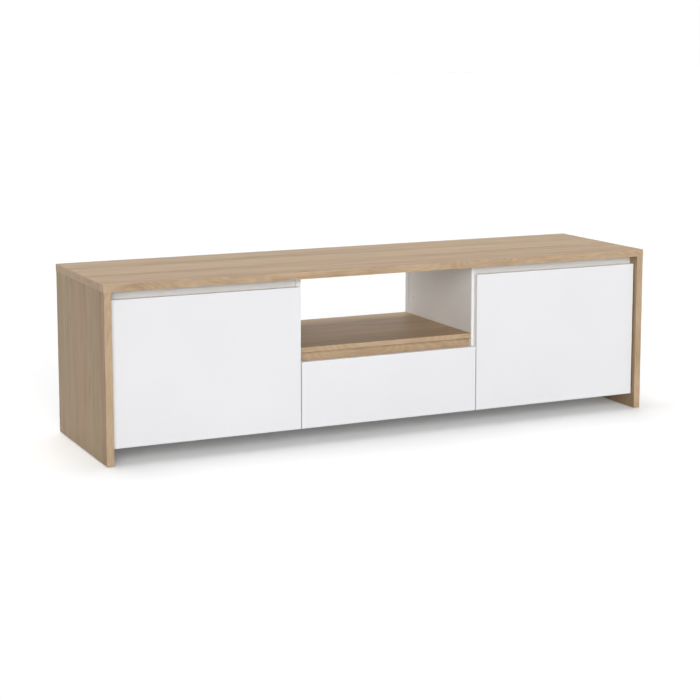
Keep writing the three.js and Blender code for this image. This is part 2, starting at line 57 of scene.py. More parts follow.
# ---- Node helpers -------------------------------------------------------------------------

class Surface:
    """A material under construction, with short calls for the shader nodes it needs."""

    def __init__(self, name, roughness=0.5, metallic=0.0):
        self.material = bpy.data.materials.new(name)
        self.material.use_nodes = True
        self.tree = self.material.node_tree
        self.shader = self.tree.nodes["Principled BSDF"]
        self.shader.inputs["Roughness"].default_value = roughness
        self.shader.inputs["Metallic"].default_value = metallic
        coordinates = self.tree.nodes.new("ShaderNodeTexCoord")
        self.place = coordinates.outputs["Object"]
        self.facing = coordinates.outputs["Normal"]

    def feed(self, socket, value):
        """Links a node's output to a socket, or sets a plain value on it."""
        if isinstance(value, bpy.types.NodeSocket):
            self.tree.links.new(value, socket)
        else:
            socket.default_value = value

    def math(self, operation, a, b=0.0, c=0.0, clamp=False):
        node = self.tree.nodes.new("ShaderNodeMath")
        node.operation = operation
        node.use_clamp = clamp
        for socket, value in zip(node.inputs, (a, b, c)):
            self.feed(socket, value)
        return node.outputs[0]

    def stretched(self, scale, offset=(0, 0, 0)):
        """The object's own coordinates, scaled and then shifted."""
        node = self.tree.nodes.new("ShaderNodeMapping")
        self.feed(node.inputs["Vector"], self.place)
        node.inputs["Scale"].default_value = scale
        node.inputs["Location"].default_value = offset
        return node.outputs[0]

    def noise(self, vector, scale, detail=3.0, rough=0.5, distortion=0.0):
        node = self.tree.nodes.new("ShaderNodeTexNoise")
        self.feed(node.inputs["Vector"], vector)
        node.inputs["Scale"].default_value = scale
        node.inputs["Detail"].default_value = detail
        node.inputs["Roughness"].default_value = rough
        node.inputs["Distortion"].default_value = distortion
        return node.outputs[0]

    def cells(self, vector, scale, feature="F1", output="Distance", randomness=1.0):
        node = self.tree.nodes.new("ShaderNodeTexVoronoi")
        node.feature = feature
        self.feed(node.inputs["Vector"], vector)
        node.inputs["Scale"].default_value = scale
        node.inputs["Randomness"].default_value = randomness
        return node.outputs[output]

    def spread(self, value, low, high, to_low=0.0, to_high=1.0, smooth=False):
        node = self.tree.nodes.new("ShaderNodeMapRange")
        node.interpolation_type = "SMOOTHSTEP" if smooth else "LINEAR"
        self.feed(node.inputs["Value"], value)
        node.inputs["From Min"].default_value = low
        node.inputs["From Max"].default_value = high
        node.inputs["To Min"].default_value = to_low
        node.inputs["To Max"].default_value = to_high
        return node.outputs[0]

    def mix(self, amount, a, b, blend="MIX"):
        """Mixes two colours; 6, 7 and 2 are the Mix node's colour sockets."""
        node = self.tree.nodes.new("ShaderNodeMix")
        node.data_type = "RGBA"
        node.blend_type = blend
        self.feed(node.inputs[0], amount)
        self.feed(node.inputs[6], a)
        self.feed(node.inputs[7], b)
        return node.outputs[2]

    def ramp(self, value, stops):
        node = self.tree.nodes.new("ShaderNodeValToRGB")
        self.feed(node.inputs[0], value)
        elements = node.color_ramp.elements
        while len(elements) < len(stops):
            elements.new(0.5)
        for element, (position, color) in zip(elements, stops):
            element.position = position
            element.color = (*color, 1)
        return node.outputs[0]

    def ridges(self, value, count):
        """Evenly spaced waves over a smooth field: its contour lines, from 0 to 1."""
        wave = self.math("SINE", self.math("MULTIPLY", value, count))
        return self.math("MULTIPLY_ADD", wave, 0.5, 0.5)

    def chance(self, value, output="Value"):
        """A number (or colour) drawn at random for each whole value."""
        node = self.tree.nodes.new("ShaderNodeTexWhiteNoise")
        node.noise_dimensions = "1D"
        self.feed(node.inputs["W"], value)
        return node.outputs[output]

    def moved(self, vector, shift, times=1.0):
        """A vector shifted by some times another one."""
        node = self.tree.nodes.new("ShaderNodeVectorMath")
        node.operation = "MULTIPLY_ADD"
        self.feed(node.inputs[0], shift)
        node.inputs[1].default_value = (times, times, times)
        self.feed(node.inputs[2], vector)
        return node.outputs[0]

    def total(self, middle, *parts):
        """The middle value plus each (value, weight) part's swing around one half."""
        result = middle
        for value, weight in parts:
            swing = self.math("SUBTRACT", value, 0.5)
            result = self.math("MULTIPLY_ADD", swing, weight, result)
        return result

    def faces(self, index):
        """1 where the surface faces along an axis, either way, and 0 elsewhere."""
        return self.math("GREATER_THAN", self.math("ABSOLUTE", self.axis(self.facing, index)), 0.7)

    def axis(self, vector, index):
        node = self.tree.nodes.new("ShaderNodeSeparateXYZ")
        self.feed(node.inputs[0], vector)
        return node.outputs[index]

    def color(self, value):
        self.feed(self.shader.inputs["Base Color"], value)

    def roughness(self, value):
        self.feed(self.shader.inputs["Roughness"], value)

    def bump(self, height, distance, strength=1.0):
        node = self.tree.nodes.new("ShaderNodeBump")
        node.inputs["Distance"].default_value = distance
        node.inputs["Strength"].default_value = strength
        self.feed(node.inputs["Height"], height)
        self.tree.links.new(node.outputs[0], self.shader.inputs["Normal"])


def linear(red, green, blue, alpha=True):
    """A colour given as 0-255 display values, as the linear values that shaders take."""
    def channel(value):
        value /= 255
        return value / 12.92 if value <= 0.04045 else ((value + 0.055) / 1.055) ** 2.4
    values = (channel(red), channel(green), channel(blue))
    return (*values, 1) if alpha else values


# ---- Materials ----------------------------------------------------------------------------

def chipboard_color(surface):
    """Pressed wood chips: pale and dark flakes with fine dust between them."""
    flakes = surface.cells(surface.place, 420, output="Color")
    flake = surface.axis(flakes, 0)
    grain = surface.noise(surface.place, 900, detail=2)
    blend = surface.total(0.5, (flake, 0.7), (grain, 0.3))
    return surface.ramp(blend, (
        (0.15, linear(112, 84, 56, alpha=False)),
        (0.45, linear(168, 134, 96, alpha=False)),
        (0.8, linear(206, 178, 140, alpha=False)),
    ))


def shade(color, factor, warmth=0.0):
    """A colour made lighter or darker, and warmer by taking green and blue away."""
    red, green, blue = color[:3]
    return red * factor, green * factor * (1 - 0.4 * warmth), blue * factor * (1 - warmth)


def run_scale(along, ratio, across=1.0):
    """Scales that draw a pattern out along one axis."""
    return [ratio if axis == along else across for axis in range(3)]


OAK_FOIL = linear(166, 142, 112)
OAK_BAND = linear(184, 158, 128)
STAVE_WIDTH = 0.05


def stave_figure(surface, along, across, offset):
    """The foil on a board's faces: parallel staves, each with its own tone and cut of the grain."""
    place = surface.stretched((1, 1, 1), offset)
    wander = surface.noise(surface.stretched(run_scale(along, 0.3), offset), 6, detail=1)
    side = surface.math("MULTIPLY_ADD", wander, 0.02, surface.axis(place, across))
    lane = surface.math("FLOOR", surface.math("DIVIDE", side, STAVE_WIDTH))
    luck = surface.chance(lane)
    hue = surface.chance(surface.math("ADD", lane, 0.37))
    own_place = surface.moved(place, surface.chance(lane, "Color"), times=3.0)

    def grain(ratio, scale, **settings):
        node = surface.tree.nodes.new("ShaderNodeMapping")
        surface.feed(node.inputs["Vector"], own_place)
        node.inputs["Scale"].default_value = run_scale(along, ratio)
        return surface.noise(node.outputs[0], scale, **settings)

    broad = grain(0.085, 26, detail=3, rough=0.55, distortion=0.3)
    medium = grain(0.075, 90, detail=4, rough=0.65)
    thin = grain(0.04, 240, detail=3, rough=0.6)
    fine = grain(0.02, 520, detail=3, rough=0.6)
    rings = surface.ridges(grain(0.07, 11, detail=1.5, rough=0.4), 130.0)
    tone = surface.total(
        0.5, (broad, 0.9), (medium, 0.9), (thin, 0.95), (fine, 0.5), (rings, 0.06), (luck, 0.24),
    )
    body = surface.ramp(tone, (
        (0.16, shade(OAK_FOIL, 0.76, 0.10)),
        (0.38, shade(OAK_FOIL, 0.93, 0.03)),
        (0.54, shade(OAK_FOIL, 1.03)),
        (0.82, shade(OAK_FOIL, 1.17, -0.02)),
    ))
    rosy = surface.mix(1.0, body, (1.02, 0.965, 0.935, 1), blend="MULTIPLY")
    grey = surface.mix(1.0, body, (0.985, 0.983, 0.955, 1), blend="MULTIPLY")
    body = surface.mix(surface.spread(hue, 0.25, 0.75, smooth=True), grey, rosy)

    # Dark mineral streaks, thin and drawn out along the grain, in a few places only.
    streak_place = surface.stretched(run_scale(along, 0.13), offset)
    streak_near = surface.cells(streak_place, 27)
    streak_luck = surface.axis(surface.cells(streak_place, 27, output="Color"), 0)
    streak = surface.spread(streak_near, 0.03, 0.13, 1, 0, smooth=True)
    streak = surface.math("MULTIPLY", streak, surface.spread(streak_luck, 0.25, 0.7))
    body = surface.mix(surface.math("MULTIPLY", streak, 0.7), body, (*shade(OAK_FOIL, 0.52, 0.22), 1))

    # Small knots: a dark heart in a soft halo.
    knot_near = surface.cells(surface.stretched(run_scale(along, 0.5), offset), 6.5)
    halo = surface.spread(knot_near, 0.05, 0.17, 0.32, 0, smooth=True)
    heart = surface.spread(knot_near, 0.012, 0.045, 0.75, 0, smooth=True)
    body = surface.mix(halo, body, (*shade(OAK_FOIL, 0.66, 0.2), 1))
    body = surface.mix(heart, body, (*shade(OAK_FOIL, 0.3, 0.3), 1))
    return body, fine


def flame_figure(surface, along, offset):
    """The edge bands: a warmer, paler print with arched, slanting grain."""
    def grain(ratio, scale, **settings):
        return surface.noise(surface.stretched(run_scale(along, ratio), offset), scale, **settings)

    hills = grain(0.26, 12, detail=2, rough=0.45)
    arches = surface.ridges(hills, 150.0)
    close_arches = surface.ridges(hills, 520.0)
    cloud = grain(0.3, 30, detail=3, rough=0.55, distortion=0.6)
    fine = grain(0.09, 420, detail=3, rough=0.6)
    tone = surface.total(0.5, (arches, 0.14), (close_arches, 0.05), (cloud, 0.8), (fine, 0.3))
    body = surface.ramp(tone, (
        (0.14, shade(OAK_BAND, 0.66, 0.16)),
        (0.36, shade(OAK_BAND, 0.9, 0.06)),
        (0.54, shade(OAK_BAND, 1.03)),
        (0.84, shade(OAK_BAND, 1.2, -0.03)),
    ))
    knot_near = surface.cells(surface.stretched(run_scale(along, 0.6), offset), 7.0)
    halo = surface.spread(knot_near, 0.04, 0.16, 0.4, 0, smooth=True)
    heart = surface.spread(knot_near, 0.012, 0.04, 0.8, 0, smooth=True)
    body = surface.mix(halo, body, (*shade(OAK_BAND, 0.62, 0.2), 1))
    return surface.mix(heart, body, (*shade(OAK_BAND, 0.3, 0.3), 1)), fine


def oak_board(name, along, across, flat, offset, bare_end=None):
    """An oak decor board: staves on its two faces, flame figure on its bands, open pores on both.

    along, across and flat are the axes of the grain, the width and the thickness. bare_end is an
    axis whose low side carries no band, so that the chipboard shows there.
    """
    surface = Surface(name, roughness=0.5)
    surface.shader.inputs["Specular IOR Level"].default_value = 0.38
    staves, fine = stave_figure(surface, along, across, offset)
    flames, band_fine = flame_figure(surface, along, offset)
    on_face = surface.faces(flat)
    body = surface.mix(on_face, flames, staves)

    pores = surface.cells(surface.stretched(run_scale(along, 0.03), offset), 620)
    pore_mask = surface.spread(pores, 0.08, 0.26, 1, 0, smooth=True)
    patches = surface.noise(surface.stretched(run_scale(along, 0.1), offset), 45, detail=2)
    pore_mask = surface.math("MULTIPLY", pore_mask, surface.spread(patches, 0.45, 0.62))
    body = surface.mix(surface.math("MULTIPLY", pore_mask, 0.35), body, (*shade(OAK_FOIL, 0.5, 0.2), 1))
    if bare_end is not None:
        looks_down = surface.math("LESS_THAN", surface.axis(surface.facing, bare_end), -0.7)
        body = surface.mix(looks_down, body, chipboard_color(surface))
    surface.color(body)
    surface.roughness(surface.spread(fine, 0.3, 0.7, 0.46, 0.6))
    pits = surface.math("MULTIPLY", pore_mask, 0.6)
    height = surface.math("SUBTRACT", surface.math("MULTIPLY", fine, 0.5), pits)
    surface.bump(height, 0.12 * MM, 0.6)
    return surface


def melamine(name, color, roughness=0.42):
    """Plain melamine: an even colour with the faint orange peel of the pressed foil."""
    surface = Surface(name, roughness=roughness)
    cloud = surface.noise(surface.place, 3.2, detail=2)
    dust = surface.noise(surface.place, 700, detail=2)
    tint = surface.spread(cloud, 0.3, 0.7)
    body = surface.mix(tint, color, (*shade(color, 0.965), 1))
    speck = surface.spread(dust, 0.62, 0.8, 0, 0.1)
    surface.color(surface.mix(speck, body, (*shade(color, 0.8), 1)))
    surface.roughness(surface.spread(cloud, 0.3, 0.7, roughness - 0.05, roughness + 0.07))
    peel = surface.noise(surface.place, 260, detail=3, rough=0.55)
    surface.bump(peel, 0.05 * MM, 0.5)
    return surface


def hardboard(name):
    """Hardboard: a pale lacquered front face and a brown, meshed back face."""
    surface = Surface(name, roughness=0.7)
    fibres = surface.noise(surface.stretched((1, 1, 0.6)), 620, detail=5, rough=0.7)
    bare = surface.ramp(fibres, (
        (0.3, linear(134, 107, 80, alpha=False)),
        (0.5, linear(157, 129, 99, alpha=False)),
        (0.72, linear(180, 152, 119, alpha=False)),
    ))
    mottle = surface.spread(fibres, 0.35, 0.7)
    lacquer = surface.mix(mottle, linear(214, 209, 201), linear(200, 195, 187))
    looks_back = surface.spread(surface.axis(surface.facing, 1), -0.2, 0.2)
    surface.color(surface.mix(looks_back, lacquer, bare))
    surface.roughness(surface.spread(looks_back, 0, 1, 0.55, 0.85))
    screen = surface.cells(surface.place, 480)
    relief = surface.math("ADD", fibres, surface.math("MULTIPLY", screen, looks_back))
    surface.bump(relief, 0.25 * MM, 0.6)
    return surface


def plated_steel(name, color, roughness, brushed=(1, 1, 0.08)):
    """Plated pressed steel with drawing marks and a few dull patches."""
    surface = Surface(name, roughness=roughness, metallic=1.0)
    marks = surface.noise(surface.stretched(brushed), 1500, detail=3)
    patches = surface.noise(surface.place, 90, detail=3)
    tone = surface.spread(patches, 0.3, 0.7)
    surface.color(surface.mix(tone, color, (*shade(color, 0.91), 1)))
    wear = surface.total(0.5, (marks, 0.5), (patches, 0.5))
    surface.roughness(surface.spread(wear, 0.3, 0.7, roughness - 0.05, roughness + 0.09))
    surface.bump(marks, 0.012 * MM, 0.35)
    return surface


def coated_steel(name, color):
    """Epoxy powder coat with its fine pebbled skin."""
    surface = Surface(name, roughness=0.38)
    pebble = surface.noise(surface.place, 1100, detail=2)
    cloud = surface.noise(surface.place, 25, detail=2)
    surface.color(surface.mix(surface.spread(cloud, 0.3, 0.7), color, (*shade(color, 0.94), 1)))
    surface.roughness(surface.spread(pebble, 0.3, 0.7, 0.32, 0.48))
    surface.bump(pebble, 0.06 * MM, 0.5)
    return surface


def moulded(name, color, roughness=0.5):
    """Moulded plastic with a light spark-eroded texture and scuffed high spots."""
    surface = Surface(name, roughness=roughness)
    spark = surface.noise(surface.place, 1600, detail=2)
    scuff = surface.noise(surface.place, 140, detail=4, rough=0.65)
    lighter = [min(1.0, channel * 1.25 + 0.01) for channel in color[:3]] + [1]
    surface.color(surface.mix(surface.spread(scuff, 0.5, 0.75, 0, 0.6), color, lighter))
    surface.roughness(surface.spread(scuff, 0.3, 0.7, roughness - 0.08, roughness + 0.12))
    surface.bump(spark, 0.05 * MM, 0.5)
    return surface


X, Y, Z = 0, 1, 2
OAK_BOARDS = {
    "top_panel": dict(along=X, across=Y, flat=Z, offset=(0.31, 0.12, 0.05)),
    "left_side_panel": dict(along=Z, across=Y, flat=X, offset=(1.7, 0.4, 0.2), bare_end=Z),
    "right_side_panel": dict(along=Z, across=Y, flat=X, offset=(3.1, 1.9, 0.6), bare_end=Z),
    "centre_shelf": dict(along=X, across=Y, flat=Z, offset=(4.4, 2.2, 1.1)),
    "centre_rail": dict(along=X, across=Y, flat=Z, offset=(5.3, 3.6, 1.7)),
}

white_front = melamine("white_front", linear(236, 236, 238), roughness=0.4)
grey_board = melamine("grey_board", linear(235, 233, 230), roughness=0.5)
drawer_foil = melamine("drawer_foil", linear(226, 222, 216), roughness=0.6)
back_board = hardboard("hardboard")
nickel = plated_steel("hinge_nickel", linear(208, 207, 203), 0.32)
zinc = plated_steel("pin_zinc", linear(186, 189, 194), 0.36)
epoxy = coated_steel("white_epoxy", linear(232, 231, 226))
nylon = moulded("nylon", linear(236, 233, 224), roughness=0.45)
black_plastic = moulded("black_plastic", linear(38, 38, 39), roughness=0.55)

SLOT_SURFACES = {
    "white_front": white_front,
    "grey_board": grey_board,
    "drawer_foil": drawer_foil,
    "hardboard": back_board,
    "hinge_nickel": nickel,
    "pin_zinc": zinc,
    "white_epoxy": epoxy,
    "nylon": nylon,
    "black_plastic": black_plastic,
}


def dress(piece, surface):
    """Gives every material slot of an object the same surface."""
    if not piece.material_slots:
        piece.data.materials.append(surface.material)
    for slot in piece.material_slots:
        slot.material = surface.material


def ease_edges(piece, width, segments=2):
    """Breaks the sharp edges of a board or pressing, as its edging and handling do."""
    bevel = piece.modifiers.new("eased edges", "BEVEL")
    bevel.width = width
    bevel.segments = segments
    bevel.limit_method = "ANGLE"
    bevel.angle_limit = math.radians(50)


BOARD_SLOTS = ("oak_decor", "white_front", "grey_board", "drawer_foil")
BOARD_EDGE = 0.6 * MM
FITTING_EDGE = 0.2 * MM

for entry in frame["record"]["subparts"]:
    node, slot_name = entry["node"], entry["material_slot"]
    piece = frame["nodes"][node]
    if slot_name == "oak_decor":
        dress(piece, oak_board("oak_" + node, **OAK_BOARDS[node]))
    else:
        dress(piece, SLOT_SURFACES[slot_name])
    is_board = slot_name in BOARD_SLOTS
    ease_edges(piece, BOARD_EDGE if is_board else FITTING_EDGE)


# ---- Turned and pressed fittings ----------------------------------------------------------

def finished_mesh(name, form, sharp_from=32):
    """Turns a bmesh into a mesh with smooth rounds and crisp corners."""
    bmesh.ops.recalc_face_normals(form, faces=form.faces)
    mesh = bpy.data.meshes.new(name)
    form.to_mesh(mesh)
    form.free()
    mesh.shade_smooth()
    mesh.set_sharp_from_angle(angle=math.radians(sharp_from))
    return mesh


def add_piece(name, form, body, slot, replaced=None):
    """Adds a shape as a dressed piece that rides on a body, in place of a CAD node if one is named."""
    piece = bpy.data.objects.new(name, finished_mesh(name, form))
    bpy.context.collection.objects.link(piece)
    dress(piece, SLOT_SURFACES[slot])
    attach(piece, body)
    if replaced:
        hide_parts(replaced)


def standing(place, direction):
    """The move that takes a shape made around +Z at the origin to a place, facing a direction."""
    return Matrix.Translation(place) @ Vector(direction).to_track_quat("Z", "Y").to_matrix().to_4x4()


def turned(profile, place, direction, segments=64, form=None, hollow=False):
    """Turns a profile of (radius, height) points, in mm, around an axis.

    A solid profile runs from the axis back to the axis; a hollow one closes on itself around a bore.
    """
    form = form or bmesh.new()
    move = standing(place, direction)
    rings = []
    for radius, height in profile:
        steps = segments if radius > 0 else 1
        angles = [2 * math.pi * step / segments for step in range(steps)]
        points = [Vector((radius * math.cos(a), radius * math.sin(a), height)) for a in angles]
        rings.append([form.verts.new(move @ (point * MM)) for point in points])
    following = rings[1:] + (rings[:1] if hollow else [])
    for lower, upper in zip(rings, following):
        for step in range(segments):
            after = step + 1
            corners = [
                lower[step % len(lower)], lower[after % len(lower)],
                upper[after % len(upper)], upper[step % len(upper)],
            ]
            form.faces.new(list(dict.fromkeys(corners)))
    return form


def arc(middle, radius, start, end, steps=6):
    """Points of a rounded corner in a profile, by angles in degrees."""
    return [
        (
            middle[0] + radius * math.cos(math.radians(start + (end - start) * step / steps)),
            middle[1] + radius * math.sin(math.radians(start + (end - start) * step / steps)),
        )
        for step in range(steps + 1)
    ]


CROSS_HALF = 0.13
CROSS_DRAFT = 0.05
RECESS_FLOOR = 0.08


def cross_head(form, place, direction, radius, height, dome, reach=0.58, spin=0.0):
    """Adds a round head with a cross recess, standing on a surface.

    Radius, rim height and dome are in mm; the reach of the cross is a share of the radius.
    """
    move = standing(place, direction) @ Matrix.Rotation(spin, 4, "Z")
    rows = [CROSS_HALF, CROSS_HALF + CROSS_DRAFT, reach, reach + CROSS_DRAFT, 0.82, 1.0]
    lines = [-line for line in reversed(rows)] + rows
    square = reach + CROSS_DRAFT
    grid = {}
    foot = {}
    for row, v in enumerate(lines):
        for column, u in enumerate(lines):
            size = max(abs(u), abs(v))
            roundness = max(0.0, (size - square) / (1 - square))
            squeeze = 1 + (size / math.hypot(u, v) - 1) * roundness
            x, y = u * squeeze, v * squeeze
            narrow, wide = sorted((abs(u), abs(v)))
            is_sunk = narrow <= CROSS_HALF and wide <= reach
            level = RECESS_FLOOR if is_sunk else height + dome * (1 - min(1.0, x * x + y * y))
            grid[row, column] = form.verts.new(move @ (Vector((x * radius, y * radius, level)) * MM))
            if size == 1.0:
                foot[row, column] = form.verts.new(move @ (Vector((x * radius, y * radius, 0)) * MM))
    last = len(lines) - 1
    for row in range(last):
        for column in range(last):
            corners = ((row, column), (row, column + 1), (row + 1, column + 1), (row + 1, column))
            form.faces.new([grid[corner] for corner in corners])
    rim = (
        [(0, step) for step in range(last)] + [(step, last) for step in range(last)]
        + [(last, last - step) for step in range(last)] + [(last - step, 0) for step in range(last)]
    )
    for here, after in zip(rim, rim[1:] + rim[:1]):
        form.faces.new((grid[after], grid[here], foot[here], foot[after]))
    form.faces.new([foot[here] for here in rim])


def heads(name, places, direction, body, slot="pin_zinc", **head):
    """One piece with a few equal screw or cam heads that all face one way."""
    form = bmesh.new()
    for turn, place in enumerate(places):
        cross_head(form, place, direction, spin=0.35 + 0.9 * turn, **head)
    add_piece(name, form, body, slot)


WOOD_SCREW = dict(radius=3.6, height=0.45, dome=0.6)
SMALL_SCREW = dict(radius=3.0, height=0.4, dome=0.45)
FLAT_SCREW = dict(radius=3.6, height=0.4, dome=0.35)
CAM = dict(radius=7.4, height=0.6, dome=0.0, reach=0.72)
CONNECTOR = dict(radius=4.9, height=0.5, dome=0.2, reach=0.45)


def middle_of(node):
    low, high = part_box(node)
    return [(a + b) / 2 for a, b in zip(low, high)]


def inner_x(node, sign):
    """The x of a node's face on the side of the cabinet's middle."""
    low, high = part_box(node)
    return sign * min(abs(low[0]), abs(high[0]))


def outer_x(node, sign):
    """The x of a node's face on the side away from the cabinet's middle."""
    low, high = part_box(node)
    return sign * max(abs(low[0]), abs(high[0]))


PIN_STUB_LENGTH = 10


def make_pins(name, sign):
    """Shelf pins: a shank for the hole, a collar against the board and a rounded stub."""
    for row, inward in (("outer", -sign), ("inner", sign)):
        for place in ("front", "back"):
            node = f"{name}_{row}_{place}_pin"
            low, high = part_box(node)
            length = (high[0] - low[0]) / MM
            _, y, z = middle_of(node)
            start = low[0] if inward > 0 else high[0]
            shank = length - PIN_STUB_LENGTH
            profile = [
                (0, 0), (1.7, 0), (2.2, 0.5), (2.2, shank),
                *arc((3.6, shank + 0.4), 0.4, -90, 0), *arc((3.6, shank + 0.8), 0.4, 0, 90),
                (2.9, shank + 1.2), (2.75, shank + 1.6),
                *arc((1.75, length - 1), 1, 0, 90), (0, length),
            ]
            form = turned(profile, (start, y, z), (inward, 0, 0), segments=32)
            add_piece(node + "_turned", form, "carcass", "pin_zinc", replaced=node)


def make_feet(name):
    """Glides nailed under the side panels, and the foot under each partition."""
    for place in ("front", "back"):
        node = f"{name}_{place}_glide"
        x, y, _ = middle_of(node)
        profile = [(0, 0.5), (1.6, 0.5), (2.0, 0), *arc((6.6, 1.4), 1.4, -90, 0), (8, 2), (0, 2)]
        form = turned(profile, (x, y, 0), (0, 0, 1))
        add_piece(node + "_moulded", form, "carcass", "nylon", replaced=node)
    node = f"{name}_centre_foot"
    x, y, _ = middle_of(node)
    profile = [
        (0, 0), *arc((18, 2), 2, -90, 0), *arc((18.5, 5), 1.5, 0, 70),
        (14, 8.6), (12, 10), (11.2, 12), (11, 22), (11, 33), *arc((14, 36), 3, 180, 90),
        (20, 39.4), *arc((21, 40.4), 1, -90, 0), (22, 43), (0, 43),
    ]
    form = turned(profile, (x, y, 0), (0, 0, 1))
    add_piece(node + "_moulded", form, "carcass", "black_plastic", replaced=node)


ROLLER_BORE = 2.3
ROLLER_DISH = 0.9


def make_rollers(name):
    """Nylon rollers: a crowned tread, dished faces and a hub around the axle."""
    for place in ("front", "rear"):
        node = f"{name}_{place}_roller"
        low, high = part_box(node)
        half = (high[0] - low[0]) / MM / 2
        dish = half - ROLLER_DISH
        side = [(3.9, half), (4.3, dish), (6.6, dish), (7.0, half)]
        far_side = [(radius, -height) for radius, height in reversed(side)]
        tread = [*arc((8.1, half - 0.9), 0.9, 90, 0), *arc((8.1, 0.9 - half), 0.9, 0, -90)]
        profile = [(ROLLER_BORE, half), *side, *tread, *far_side, (ROLLER_BORE, -half)]
        form = turned(profile, middle_of(node), (1, 0, 0), hollow=True)
        add_piece(node + "_moulded", form, node, "nylon", replaced=node)


PLATE_THICKNESS = 2 * MM
WING_HALF_WIDTH = 8 * MM
PLATE_SCREW_RISES = (-16 * MM, 16 * MM)
CUP_SCREW_RISES = (-21.4 * MM, 21.4 * MM)
ARM_DEPTH = 10 * MM
ARM_SCREW_INSETS = (6 * MM, 15 * MM)


def make_hinge_screws(name, sign):
    """The screws in each hinge's plate and cup flange, and the two that hold its arm."""
    for place in HINGE_PLACES:
        hinge = f"{name}_{place}_hinge"
        z = middle_of(hinge + "_plate")[2]
        wing_x = outer_x(hinge + "_plate", sign) - sign * PLATE_THICKNESS
        wing_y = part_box(hinge + "_plate")[0][1] + WING_HALF_WIDTH
        plate_screws = [(wing_x, wing_y, z + rise) for rise in PLATE_SCREW_RISES]
        heads(hinge + "_plate_screws", plate_screws, (-sign, 0, 0), "carcass", **WOOD_SCREW)
        cup_x = middle_of(hinge + "_cup")[0]
        flange_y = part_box(hinge + "_cup")[1][1]
        cup_screws = [(cup_x, flange_y, z + rise) for rise in CUP_SCREW_RISES]
        heads(hinge + "_cup_screws", cup_screws, (0, 1, 0), name + "_door", **WOOD_SCREW)
        arm_x = outer_x(hinge + "_arm", sign) - sign * ARM_DEPTH
        arm_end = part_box(hinge + "_arm")[1][1]
        arm_screws = [(arm_x, arm_end - inset, z) for inset in ARM_SCREW_INSETS]
        heads(hinge + "_arm_screws", arm_screws, (-sign, 0, 0), "carcass", **SMALL_SCREW)


RUNNER_SHEET = 1.2 * MM
RUNNER_HEIGHT = 74 * MM
RUNNER_FOOT_MIDDLE = 4.6 * MM
CABINET_RUNNER_SCREW_DEPTHS = (-0.118, 0.012, 0.132)
DRAWER_RUNNER_SCREW_DEPTHS = (-0.12, 0.0, 0.12)


def make_runner_screws(name, sign):
    """The screws that hold a runner to the partition and its mate under the drawer's side."""
    web_x = outer_x(name + "_cabinet_runner", sign) - sign * RUNNER_SHEET
    web_screws = [(web_x, y, RUNNER_HEIGHT) for y in CABINET_RUNNER_SCREW_DEPTHS]
    heads(name + "_cabinet_runner_screws", web_screws, (-sign, 0, 0), "carcass", **FLAT_SCREW)
    foot_x = inner_x(name + "_drawer_runner", sign) + sign * RUNNER_FOOT_MIDDLE
    foot_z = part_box(name + "_drawer_runner")[0][2]
    foot_screws = [(foot_x, y, foot_z) for y in DRAWER_RUNNER_SCREW_DEPTHS]
    heads(name + "_drawer_runner_screws", foot_screws, (0, 0, -1), "drawer", **SMALL_SCREW)


CAM_INSET = 34 * MM
FIXING_DEPTHS = (-0.12, 0.12)


def make_connectors(name, sign):
    """Cam fittings and connector bolts that hold the boards together."""
    side_x = inner_x(name + "_side_panel", sign)
    part_x = outer_x(name + "_partition", sign)
    part_middle = middle_of(name + "_partition")[0]
    under_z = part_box("bottom_panel")[0][2]
    cam_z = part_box(name + "_side_panel")[1][2] - CAM_INSET
    cam_x = side_x - sign * CAM_INSET
    side_cams = [(side_x, y, cam_z) for y in FIXING_DEPTHS]
    heads(name + "_side_cams", side_cams, (-sign, 0, 0), "carcass", **CAM)
    partition_cams = [(part_x, y, cam_z) for y in FIXING_DEPTHS]
    heads(name + "_partition_cams", partition_cams, (sign, 0, 0), "carcass", **CAM)
    bottom_cams = [(cam_x, y, under_z) for y in FIXING_DEPTHS]
    heads(name + "_bottom_cams", bottom_cams, (0, 0, -1), "carcass", **CAM)
    bolts = [(part_middle, y, under_z) for y in FIXING_DEPTHS]
    heads(name + "_partition_bolts", bolts, (0, 0, -1), "carcass", **CONNECTOR)
    rail_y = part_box(name + "_grip_rail")[1][1]
    rail_cams = [(x, rail_y, cam_z) for x in (part_x + sign * CAM_INSET, cam_x)]
    heads(name + "_grip_rail_cams", rail_cams, (0, 1, 0), "carcass", **CAM)


DRAWER_FIXING_RISES = (30 * MM, 84 * MM)
DRAWER_BACK_MIDDLE = 6 * MM


def make_drawer_fittings(name, sign):
    """Cams inside the drawer's sides near its front, and bolts into its back."""
    node = f"drawer_{name}_side"
    low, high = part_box(node)
    heights = [low[2] + rise for rise in DRAWER_FIXING_RISES]
    cams = [(inner_x(node, sign), low[1] + CAM_INSET, z) for z in heights]
    heads(f"drawer_{name}_cams", cams, (-sign, 0, 0), "drawer", **CAM)
    bolts = [(outer_x(node, sign), high[1] - DRAWER_BACK_MIDDLE, z) for z in heights]
    heads(f"drawer_{name}_bolts", bolts, (sign, 0, 0), "drawer", **CONNECTOR)


BUMPER_INSET = 4.4 * MM
BUMPER_END_GAP = 22 * MM


def make_bumpers(name, sign):
    """Soft dots on the door's back that meet the partition's edge."""
    low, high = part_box(name + "_door")
    x = inner_x(name + "_door", sign) + sign * BUMPER_INSET
    form = bmesh.new()
    profile = [(0, 0), (4, 0), *arc((3.4, 0.3), 0.6, 0, 90), (0, 0.9)]
    for z in (low[2] + BUMPER_END_GAP, high[2] - BUMPER_END_GAP):
        turned(profile, (x, high[1], z), (0, 1, 0), segments=32, form=form)
    add_piece(name + "_door_bumpers", form, name + "_door", "nylon")


